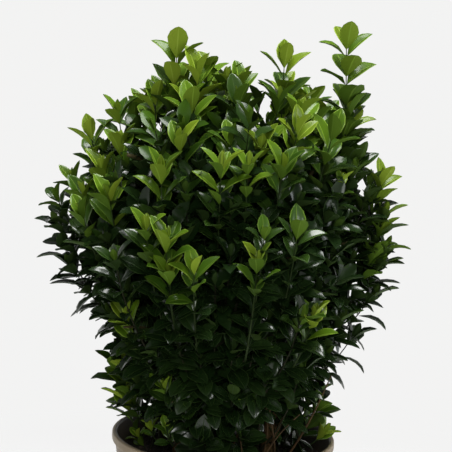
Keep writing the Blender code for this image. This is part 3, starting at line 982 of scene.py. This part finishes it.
def grow_leaves(planned, draws):
    """The leaves of these shoots, as a dictionary of arrays.

    Near the tip a pair stands close to the stem, folded and small; lower down it spreads, bends back
    and turns its face to the light, and its colour darkens with age and as painted shade, faster on
    lower shoots. The highest shoots' leaves are broader.
    """
    rows = place_leaves(planned, draws)
    index, pair = rows[:, 0].astype(int), rows[:, 1].astype(int)
    place, stem, outward, depth = rows[:, 2:5], rows[:, 5:8], rows[:, 8:11], rows[:, 11]
    count = len(rows)
    size, fresh = gather(planned, "size")[index], gather(planned, "fresh")[index]
    top = gather(planned, "tip")[index, 2]
    pick = np.minimum(pair, 6)
    ripe = np.minimum(pair / 2, 1) * np.clip(1 - fresh, 0, 1)
    spread = np.radians(PAIR_SPREAD[pick] + 12 * ripe + draws.normal(0, 6, count))[:, None]
    way = unit(np.cos(spread) * stem + np.sin(spread) * outward)
    face = unit(np.sin(spread) * stem - np.cos(spread) * outward)
    towards = LIGHT - (way @ LIGHT)[:, None] * way
    uneven = (0.07 + 0.20 * ripe)[:, None] * draws.normal(0, 1, (count, 3))
    open_side = 0.16 * around(1.0, gather(planned, "azimuth")[index], 0.0) + (0.0, -0.12, 0.0)
    face = unit(face + (0.6 * ripe)[:, None] * towards + open_side + uneven)
    face = unit(face - (face * way).sum(-1, keepdims=True) * way)
    length = LEAF_LENGTH * size * PAIR_SIZE[pick] * draws.normal(1.0, 0.06, count)
    # leaves darken faster down shoots that stand lower: painted shade as well as age
    age_and_shade_rate = np.interp(top, (0.36, 0.44), (0.60, 0.27))
    age = 4.2 - 4.8 * fresh + age_and_shade_rate * pair + depth + draws.normal(0, 0.34, count)
    broad = 1 + 0.08 * (pair < 2) + 0.18 * np.interp(top, (0.455, 0.475), (0, 1))
    return {
        "place": place + 0.0006 * outward,
        "way": way,
        "face": face,
        "length": length,
        "width": length * LEAF_WIDTH * draws.normal(1.0, 0.06, count) * broad,
        "bend": np.radians(PAIR_BEND[pick] + 14 * ripe + draws.normal(0, 10, count)),
        "fold": np.radians(PAIR_FOLD[pick] - 4 * ripe + draws.normal(0, 5, count)),
        "ripple": draws.normal(0, 0.06, count),
        "phase": draws.uniform(0, 2 * math.pi, count),
        "age": np.clip(np.round(age), 0, 4).astype(int),
        "tone": draws.integers(0, 6, count),
    }


# --- limbs --------------------------------------------------------------------------------------
def stem_axis(name, share):
    """The middle of a stem at these shares of its length; it leans as the share to the power 1.6."""
    (x, y), (across, back) = STEMS[name]
    share = np.asarray(share, float)
    height = STEM_FOOT + (STEM_TOP - STEM_FOOT) * share
    return np.stack([x + across * share**1.6, y + back * share**1.6, height], -1)


def mass_middle(mass):
    """The middle of a mass of foliage in the solids."""
    low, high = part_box(f"foliage_{mass}")
    return (np.array(low) + np.array(high)) / 2


def bough_controls(stem, share, mass):
    """A bough's curve: up from its stem, then out through the hollow into its mass."""
    end = mass_middle(mass)
    axis = stem_axis(stem, share)
    outward = unit((end - axis) * (1, 1, 0))
    leader = share == 1.0
    start = axis if leader else axis + 0.0032 * outward
    rise = end[2] - start[2]
    first = start + np.array([0, 0, 0.40 * rise]) + (0.0 if leader else 0.014) * outward
    hollow = HOLLOW_RADIUS + HOLLOW_SPREAD * (end[2] - SOIL_TOP)
    second = 0.80 * hollow * unit(end * (1, 1, 0)) + (0, 0, end[2] - 0.05 * rise)
    return np.stack([start, first, second, end])


def all_masses():
    """The names of the masses in the solids."""
    return sorted(name[8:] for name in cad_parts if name.startswith("foliage_"))


def ridges(draws, count, depth):
    """Uneven lengthwise ridges, as a function for tubes().

    They are a sum of this many waves round the limb, each of which sways along it.
    """
    round_by = draws.integers(2, 9, count)
    along_by = draws.uniform(4, 40, count)
    start = draws.uniform(0, 2 * math.pi, count)

    def relief(turn, share):
        total = np.zeros((len(share), len(turn)))
        for wave in range(count):
            sway = 1.4 * np.sin(along_by[wave] * share[:, None])
            total += np.sin(round_by[wave] * turn[None] + start[wave] + sway)
        return 1 + depth * total[None] / math.sqrt(count)

    return relief


# a stem's thickness along it, and a bough's from its fork to its end, as shares of their radii
STEM_TAPER = ((0, 0.02, 0.05, 0.12, 0.3, 0.65, 1), (STEM_FLARE, 1.7, 1.45, 1.12, 1.0, 0.86, 0.66))
BOUGH_TAPER = (0.95, 0.50)


def build_stems(draws):
    """The stems, with ridged bark."""
    brown = bark_finish("stem_bark")
    share = np.linspace(0, 1, 48)
    radii = STEM_RADIUS * np.interp(share, *STEM_TAPER)
    pieces = []
    for name in STEMS:
        path = stem_axis(name, share)[None]
        bark = ridges(draws, 7, 0.035)
        pieces.append(limb_piece(f"bark_{name}", path, radii, 28, brown, "stem_bark", name, bark))
    return pieces


def side_boughs(draws):
    """For each mass that no bough of the solids serves: the nearest stem, a share of its length, mass."""
    served = {mass for _, _, mass in BOUGHS}
    planned = []
    for mass in all_masses():
        if mass in served:
            continue
        middle = mass_middle(mass)
        distance = {name: np.linalg.norm((stem_axis(name, 1.0) - middle)[:2]) for name in STEMS}
        planned.append((min(distance, key=distance.get), draws.uniform(0.45, 0.9), mass))
    return planned


def build_boughs(extra, draws):
    """The boughs of the solids with ridged bark, and thinner ones to the masses that have none."""
    olive = bark_finish("bough_bark")
    radii = BOUGH_RADIUS * np.linspace(*BOUGH_TAPER, 40)
    pieces = []
    for row in BOUGHS:
        path = curves(bough_controls(*row)[None], 40)
        mass, bark = row[2], ridges(draws, 6, 0.04)
        named = (f"bark_bough_{mass}", path, radii, 16, olive, "bough_bark", f"bough_{mass}", bark)
        pieces.append(limb_piece(*named))
    paths = curves(np.array([bough_controls(*row) for row in extra]), 24)
    radii = 0.72 * BOUGH_RADIUS * np.linspace(*BOUGH_TAPER, 24)
    return [*pieces, limb_piece("side_boughs", paths, radii, 8, olive, "bough_bark")]


def build_branchlets(ends):
    """Sagging branchlets from the inner side of the nearest mass to each shoot's foot."""
    hubs = np.array([mass_middle(mass) for mass in all_masses()])
    near = np.linalg.norm(ends[:, None] - hubs[None], axis=2).argmin(1)
    start = (hubs * (0.70, 0.70, 1.0) - (0, 0, 0.010))[near]
    reach = 0.35 * (ends - start)
    sag = np.array([0, 0, 0.25]) * np.linalg.norm(ends - start, axis=1, keepdims=True)
    controls = np.stack([start, start + reach - 0.3 * sag, ends - reach - 0.6 * sag, ends], 1)
    radii = np.linspace(0.0014, 0.0010, 9)
    return limb_piece("branchlets", curves(controls, 9), radii, 5, bark_finish("twig_bark"), "bough_bark")


def build_shoot_stems(planned):
    """The shoots' own stems, thinning to the tip: green on fresh shoots, brown on old ones."""
    fresh = gather(planned, "fresh") >= 0.5
    paths = curves(shoot_curves(planned), 12)
    radii = np.linspace(0.0009, 0.0004, 12)
    kinds = (("green_shoot_stems", fresh, "young_stem"), ("brown_shoot_stems", ~fresh, "older_stem"))
    return [
        limb_piece(name, paths[chosen], radii, 6, bark_finish(bark), "bough_bark")
        for name, chosen, bark in kinds
    ]


FOOT_TWIGS = 22


def build_foot_twigs(draws):
    """Thin bare twigs that rise from the soil where the foot lies open, on wavering curves.

    A twig's distance from the middle grows as its share of the height to the power 0.7.
    """
    turn = draws.uniform(BARE_FROM - 0.25, BARE_TO + 0.30, FOOT_TWIGS)
    start = draws.uniform(0.022, 0.062, FOOT_TWIGS)
    spread = draws.uniform(-0.006, 0.028, FOOT_TWIGS)
    height = draws.uniform(0.045, 0.080, FOOT_TWIGS)
    controls = np.empty((FOOT_TWIGS, 4, 3))
    for number, share in enumerate((0.0, 0.33, 0.67, 1.0)):
        away = start + spread * share**0.7 + draws.normal(0, 0.0035, FOOT_TWIGS)
        angle = turn + draws.normal(0, 0.34, FOOT_TWIGS) * share
        controls[:, number] = around(away, angle, STEM_FOOT + height * share)
    finish = bark_finish("foot_twig_bark")
    radii = np.linspace(0.0009, 0.0004, 14)[None] * draws.uniform(0.7, 1.3, (FOOT_TWIGS, 1))
    return limb_piece("foot_twigs", curves(controls, 14), radii, 6, finish, "stem_bark")


# --- pot and soil -------------------------------------------------------------------------------
EDGE_ROUND = 0.0011


def wall_radius(height):
    """Radius of the pot's outer wall at this height."""
    under_lip = POT_HEIGHT - LIP_HEIGHT
    top = RIM_RADIUS - LIP_PROUD
    return FOOT_RADIUS + (top - FOOT_RADIUS) * height / under_lip


def pot_profile():
    """The pot's section from its underside round the rolled lip and down to the floor inside."""
    under_lip = POT_HEIGHT - LIP_HEIGHT
    inside_top = wall_radius(under_lip) - WALL
    corners = [
        (0, 0),
        (FOOT_RADIUS - 0.0015, 0),
        (wall_radius(0.003), 0.003),
        (wall_radius(under_lip - 0.001), under_lip - 0.001),
        (wall_radius(under_lip) + 0.0004, under_lip),
        (RIM_RADIUS - 0.0004, under_lip + 0.0002),
        (RIM_RADIUS, under_lip + 0.0024),
        (RIM_RADIUS - 0.0002, POT_HEIGHT - 0.0008),
        (RIM_RADIUS - 0.0013, POT_HEIGHT),
        (inside_top + 0.0010, POT_HEIGHT),
        (inside_top + 0.0002, POT_HEIGHT - 0.0012),
        (wall_radius(0.07) - WALL, 0.07),
        (wall_radius(FLOOR) - WALL, FLOOR),
        (0, FLOOR),
    ]
    return rounded(corners, EDGE_ROUND)


def out_of_round(grid):
    """The grid, swelled by waves of two and three round it that grow with the height cubed."""
    turn = np.arctan2(grid[..., 1], grid[..., 0])
    high = (grid[..., 2] / POT_HEIGHT) ** 3
    ease = 1 + high * (0.0022 * np.cos(2 * turn + 0.7) + 0.0010 * np.cos(3 * turn))
    grid[..., :2] *= ease[..., None]
    return grid


def cut_drains(pot):
    """Cut the ring of drain holes through the pot's floor."""
    cutters = []
    for number in range(DRAINS):
        turn = math.radians(DRAIN_TURN + 360 * number / DRAINS)
        rings = np.array([(0, -0.002), (DRAIN_RADIUS, -0.002), (DRAIN_RADIUS, 0.006), (0, 0.006)])
        cutter = turned_piece(f"drain_{number}", rings, 20, np.copy, pot.data.materials[0])
        cutter.data.transform(Matrix.Translation(around(DRAIN_CIRCLE, turn, 0.0)))
        modifier = pot.modifiers.new(cutter.name, "BOOLEAN")
        modifier.operation = "DIFFERENCE"
        modifier.solver = "EXACT"
        modifier.object = cutter
        cutters.append(cutter)
    graph = bpy.context.evaluated_depsgraph_get()
    cut = bpy.data.meshes.new_from_object(pot.evaluated_get(graph))
    pot.modifiers.clear()
    pot.data = cut
    for cutter in cutters:
        bpy.data.objects.remove(cutter)


def build_pot():
    """The pot: a turned profile, a little out of round at the rim, with drain holes in its floor."""
    pot = turned_piece("nursery_pot", pot_profile(), 144, out_of_round, pot_finish())
    cut_drains(pot)
    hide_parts("pot")
    return pot


def waves(points, draws, count, low, high):
    """A rough height in (-1, 1) over (x, y): waves whose size falls as they get shorter."""
    total = np.zeros(points.shape[:-1])
    weight = 0.0
    for size in np.geomspace(low, high, count):
        turn = draws.uniform(0, 2 * math.pi)
        across = points[..., 0] * math.cos(turn) + points[..., 1] * math.sin(turn)
        total += np.sin(size * across + draws.uniform(0, 6.3)) * (low / size) ** 0.55
        weight += (low / size) ** 0.55
    return total / weight * 1.8


CRUMBS = 900


def build_compost(finish, draws):
    """The compost: a solid that fills the pot, with a rough top that sinks a little at its edge."""
    bottom = FLOOR + 0.0005
    edge = wall_radius(SOIL_TOP) - SOIL_INSET
    top = [(edge * share, SOIL_TOP - 0.003 * share**6) for share in np.linspace(1, 0.015, 60)]
    profile = [(0, bottom), (wall_radius(bottom) - SOIL_INSET, bottom), *top, (0, SOIL_TOP)]

    def shape(grid):
        upper = grid[..., 2] > SOIL_TOP - 0.01
        rough = waves(grid, draws, 26, 60, 2600)
        radius = np.hypot(grid[..., 0], grid[..., 1])
        ease = np.clip((edge - radius) / 0.003, 0.15, 1)
        grid[..., 2] += np.where(upper, 0.0022 * rough * ease, 0)
        return grid

    soil = turned_piece("compost", profile, 160, shape, finish)
    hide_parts("potting_soil")
    return soil


def build_crumbs(finish, draws):
    """Loose crumbs on the compost: uneven lumps of twenty sides, small ones most often."""
    edge = wall_radius(SOIL_TOP) - SOIL_INSET
    radius = (edge - 0.004) * np.sqrt(draws.uniform(0, 1, CRUMBS))
    turn = draws.uniform(0, 2 * math.pi, CRUMBS)
    size = 0.0006 + 0.0022 * draws.uniform(0, 1, CRUMBS) ** 2.5
    centre = around(radius, turn, SOIL_TOP + 0.4 * size)
    gold = (1 + math.sqrt(5)) / 2
    corners = unit(
        [(-1, gold, 0), (1, gold, 0), (-1, -gold, 0), (1, -gold, 0), (0, -1, gold), (0, 1, gold)]
        + [(0, -1, -gold), (0, 1, -gold), (gold, 0, -1), (gold, 0, 1), (-gold, 0, -1), (-gold, 0, 1)]
    )
    sides = np.array(
        [(0, 11, 5), (0, 5, 1), (0, 1, 7), (0, 7, 10), (0, 10, 11), (1, 5, 9), (5, 11, 4)]
        + [(11, 10, 2), (10, 7, 6), (7, 1, 8), (3, 9, 4), (3, 4, 2), (3, 2, 6), (3, 6, 8), (3, 8, 9)]
        + [(4, 9, 5), (2, 4, 11), (6, 2, 10), (8, 6, 7), (9, 8, 1)]
    )
    lumps = corners[None] * draws.uniform(0.6, 1.3, (CRUMBS, 12, 1)) * size[:, None, None]
    lumps = lumps * draws.uniform(0.6, 1.4, (CRUMBS, 1, 3)) + centre[:, None]
    faces = (sides[None] + 12 * np.arange(CRUMBS)[:, None, None]).reshape(-1, 3)
    crumbs = new_piece("compost_crumbs", lumps.reshape(-1, 3), [faces], [finish], smooth=False)
    return crumbs


# --- stage --------------------------------------------------------------------------------------
# the camera: its height above the level and its roll in degrees, how far off it stands, the width
# of its view in degrees and the point that it looks at
VIEW_HEIGHT = 9.84
VIEW_ROLL = 3.03
VIEW_DISTANCE = 1.60
VIEW_ANGLE = 13.54
VIEW_AIM = np.array([-0.007, 0.0, 0.335])

# the floor from near the pot to its raised edge: radius and height
FLOOR_LEVEL = ((0.2, 0), (0.5, 0), (1.0, 0), (3.0, 0), (7.5, 0))
FLOOR_EDGE = ((8.4, 0.12), (8.85, 0.5), (9, 1.2), (9, 2.6))
FLOOR_GREY = (0.80, 0.80, 0.80)
FLOOR_GLOW = 0.895
ROOM_GLOW = 0.14
BLACK = (0.0, 0.0, 0.0)
WHITE = (1.0, 1.0, 1.0)

# lights: place, aim, width, depth, power and colour
LIGHTS = {
    "overhead": ((0.10, -0.10, 1.75), (0, 0, 0.35), 0.8, 0.8, 34.0, WHITE),
    "side": ((1.40, -0.10, 0.45), (0.05, 0, 0.28), 0.5, 0.5, 4.6, (0.90, 0.96, 1.0)),
    "front": ((0.12, -1.60, 0.95), (0, 0, 0.28), 0.5, 0.4, 6.2, WHITE),
}


def place_object(made, axes, place):
    """Link an object and stand it at a place with these three axes."""
    bpy.context.scene.collection.objects.link(made)
    columns = np.stack([*axes, place], 1)
    made.matrix_world = Matrix([*columns.tolist(), (0, 0, 0, 1)])


def add_camera():
    """A camera in front of the shrub, a little above it, turned a few degrees about its own axis."""
    rise = math.radians(VIEW_HEIGHT)
    back = np.array([0, -math.cos(rise), math.sin(rise)])
    right = np.array([1.0, 0, 0])
    up = np.cross(back, right)
    roll = math.radians(VIEW_ROLL)
    across = math.cos(roll) * right + math.sin(roll) * up
    over = -math.sin(roll) * right + math.cos(roll) * up
    data = bpy.data.cameras.new("camera")
    data.sensor_fit = "HORIZONTAL"
    data.angle = math.radians(VIEW_ANGLE)
    data.clip_start = 0.05
    data.clip_end = 60
    camera = bpy.data.objects.new("camera", data)
    place_object(camera, (across, over, back), VIEW_AIM + VIEW_DISTANCE * back)
    bpy.context.scene.camera = camera


def add_light(name, place, aim, width, depth, power, colour):
    """A soft rectangular light at a place, turned to face its aim."""
    data = bpy.data.lights.new(name, "AREA")
    data.shape = "RECTANGLE"
    data.size, data.size_y = width, depth
    data.energy = power
    data.color = colour
    back = unit(np.array(place) - aim)
    across = unit(np.cross((0, 1, 0.001), back))
    place_object(bpy.data.objects.new(name, data), (across, np.cross(back, across), back), place)


def add_floor():
    """A plain pale floor that glows softly away from the pot and rises at its edge."""
    pale = Finish("backdrop", FLOOR_GREY, 0.9, Emission_Strength=FLOOR_GLOW, Specular_IOR_Level=0.0)
    limits = {"Value": pale.distance(), "From Min": 0.32, "From Max": 0.62}
    far = pale.node("ShaderNodeMapRange", {"interpolation_type": "SMOOTHSTEP", "clamp": True}, limits)
    pale.feed("Base Color", pale.blend(far, (*FLOOR_GREY, 1.0), (*BLACK, 1.0)))
    pale.feed("Emission Color", pale.blend(far, (*BLACK, 1.0), (1.0, 1.0, 0.995, 1.0)))
    columns = 64
    turn = 2 * math.pi * np.arange(columns) / columns
    profile = np.array(FLOOR_LEVEL + FLOOR_EDGE, float)
    rings = around(profile[:, :1], turn, profile[:, 1:])
    points = np.concatenate([[[0, 0, 0]], *rings])
    column = np.arange(columns)
    middle = np.stack([np.zeros(columns, int), 1 + column, 1 + (column + 1) % columns], -1)
    outer = ring_faces(len(profile), columns, 1)[:, ::-1]
    new_piece("floor", points, [middle, outer], [pale.material])


def add_stage():
    """The floor, a dim pale room and three soft lights."""
    add_floor()
    world = bpy.data.worlds.new("studio")
    bpy.context.scene.world = world
    world.use_nodes = True
    background = world.node_tree.nodes["Background"]
    background.inputs["Color"].default_value = (*WHITE, 1.0)
    background.inputs["Strength"].default_value = ROOM_GLOW
    for name, values in LIGHTS.items():
        add_light(name, *values)
    bpy.context.scene.view_settings.view_transform = "Standard"


# --- the whole ----------------------------------------------------------------------------------
def main():
    """Stage, pot and soil first, then the leaves, and last the limbs that carry them."""
    draws = np.random.default_rng(SEED)
    add_camera()
    add_stage()
    pot, compost = build_pot(), soil_finish()
    pieces = [pot, build_compost(compost, draws), build_crumbs(compost, draws)]
    leaders = plan_leaders()
    named = gather(leaders, "tip")
    outer = leaders + plan_rows(named, draws) + plan_top(named, draws)
    inner = plan_inner(draws)
    outer_leaves, inner_leaves = grow_leaves(outer, draws), grow_leaves(inner, draws)
    foliage = leaf_pieces("leaves", FULL_LEAF, outer_leaves, leaf_finishes("leaf", 1.0))
    foliage += leaf_pieces("inner_leaves", INNER_LEAF, inner_leaves, leaf_finishes("inner_leaf", 0.45))
    crown_nodes = [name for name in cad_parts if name.startswith(("foliage_", "shoot_"))]
    for piece in foliage:
        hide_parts(*crown_nodes)
    planned = outer + inner
    pieces += foliage + build_shoot_stems(planned) + build_stems(draws)
    pieces += build_boughs(side_boughs(draws), draws)
    pieces += [build_branchlets(shoot_curves(planned)[:, 0]), build_foot_twigs(draws)]
    for piece in pieces:
        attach(piece, "root")


main()
